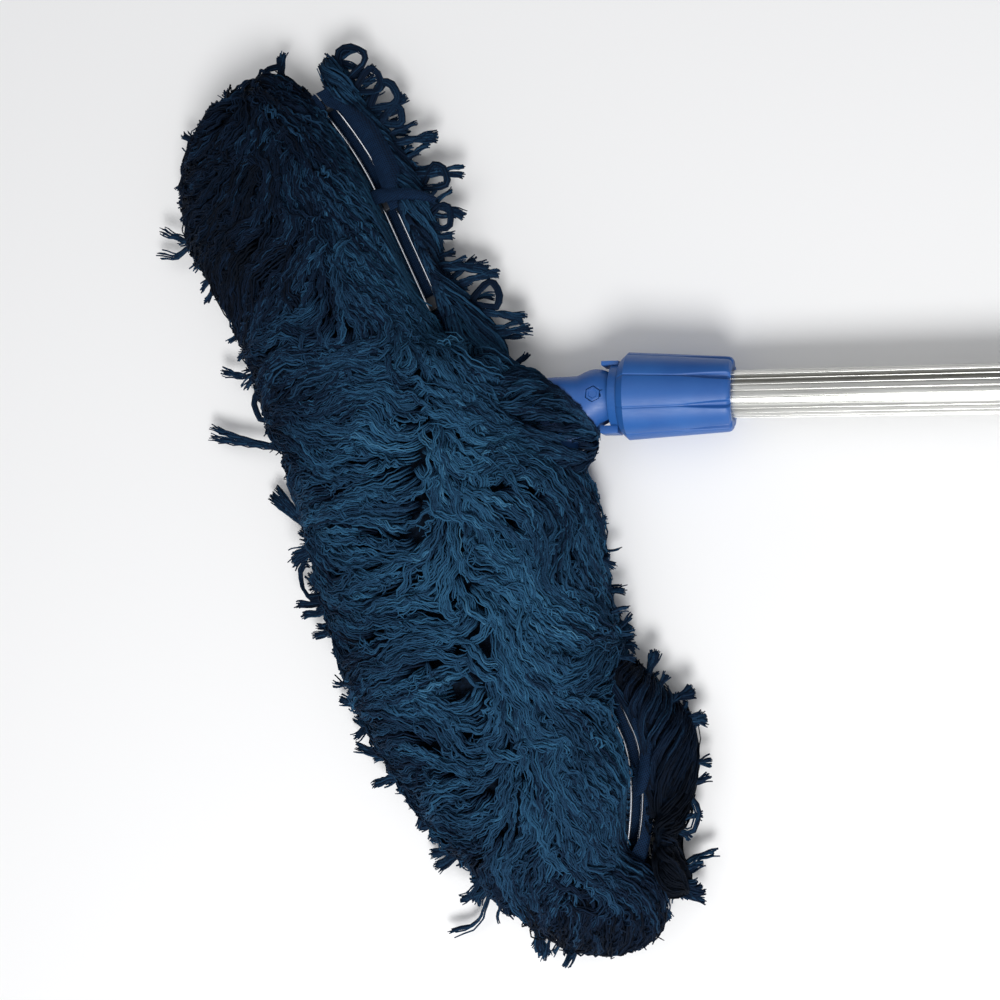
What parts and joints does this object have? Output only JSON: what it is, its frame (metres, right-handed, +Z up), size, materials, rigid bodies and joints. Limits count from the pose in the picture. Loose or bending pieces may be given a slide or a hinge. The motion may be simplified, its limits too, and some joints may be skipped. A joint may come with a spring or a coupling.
{
  "type": "flexible yarn duster",
  "caption": "Long-handled duster: a bendable wire frame in a yarn pile sleeve on a tilting neck, with a twist collar and a telescopic fluted pole.",
  "frame": {"origin": "on the ground under the middle of the duster's outer box, as it lies on its side", "axes": "+X along the pole from the head to the hand grip, +Y across the pole in the plane the head tilts in, +Z up from the ground"},
  "size_m": [1.1298, 0.51, 0.076],
  "materials": {
    "blue_plastic": "satin",
    "dark_plastic": "satin",
    "grey_plastic": "satin",
    "aluminium": "satin",
    "steel": "polished",
    "rubber": "matte",
    "backing_cloth": "matte",
    "yarn": "matte"
  },
  "bodies": {
    "pole_outer": {"pole_outer_tube": "aluminium", "hand_grip": "rubber", "end_cap": "blue_plastic", "tele_lock_body": "dark_plastic", "tele_clamp_ring": "grey_plastic"},
    "lock_nut": {"tele_lock_nut": "blue_plastic"},
    "pole_inner": {"pole_inner_tube": "aluminium", "inner_guide_bush": "dark_plastic", "adaptor_core": "blue_plastic", "adaptor_collet": "grey_plastic"},
    "collar": {"locking_collar": "blue_plastic"},
    "wedge": {"wedge_ring": "grey_plastic"},
    "neck": {"pivot_bolt": "blue_plastic", "pivot_nut": "steel", "friction_washer_top": "grey_plastic", "friction_washer_bottom": "grey_plastic", "neck_shell_top": "blue_plastic", "neck_shell_bottom": "blue_plastic", "neck_screw_1": "steel", "neck_screw_2": "steel", "neck_screw_3": "steel", "neck_screw_4": "steel", "frame_hub": "dark_plastic", "backing_middle": "backing_cloth", "pile_middle": "yarn"},
    "upper_wing": {"upper_frame_wire": "steel", "upper_wire_spacer_1": "dark_plastic", "upper_wire_spacer_2": "dark_plastic", "upper_tip_guard": "dark_plastic", "backing_upper": "backing_cloth", "pile_upper": "yarn"},
    "lower_wing": {"lower_frame_wire": "steel", "lower_wire_spacer_1": "dark_plastic", "lower_wire_spacer_2": "dark_plastic", "lower_tip_guard": "dark_plastic", "backing_lower": "backing_cloth", "pile_lower": "yarn"}
  },
  "joints": [
    {"name": "pole_extend", "type": "slide", "parent": "pole_outer", "child": "pole_inner", "axis": [-1, 0, 0], "range_m": [-0.18, 0.17]},
    {"name": "tele_lock_turn", "type": "hinge", "parent": "pole_outer", "child": "lock_nut", "pos_m": [-0.02309, 0.04795, 0.024], "axis": [1, 0, 0], "range_deg": [0, 90]},
    {"name": "collar_turn", "type": "hinge", "parent": "pole_inner", "child": "collar", "pos_m": [-0.27109, 0.04795, 0.024], "axis": [1, 0, 0], "range_deg": [0, 120]},
    {"name": "wedge_slide", "type": "slide", "parent": "pole_inner", "child": "wedge", "axis": [1, 0, 0], "range_m": [0, 0.004]},
    {"name": "head_tilt", "type": "hinge", "parent": "pole_inner", "child": "neck", "pos_m": [-0.31309, 0.04795, 0.024], "axis": [0, 0, 1], "range_deg": [-58, 6]},
    {"name": "upper_bend", "type": "hinge", "parent": "neck", "child": "upper_wing", "pos_m": [-0.38196, 0.04773, 0.024], "axis": [0, 0, 1], "range_deg": [-40, 40], "deforming": ["upper_frame_wire", "backing_upper", "pile_upper"]},
    {"name": "lower_bend", "type": "hinge", "parent": "neck", "child": "lower_wing", "pos_m": [-0.35566, -0.0062, 0.024], "axis": [0, 0, 1], "range_deg": [-40, 40], "deforming": ["lower_frame_wire", "backing_lower", "pile_lower"]}
  ],
  "couplings": [
    {"joint": "wedge_slide", "follows": "collar_turn", "m_per_rad": 0.0019}
  ]
}
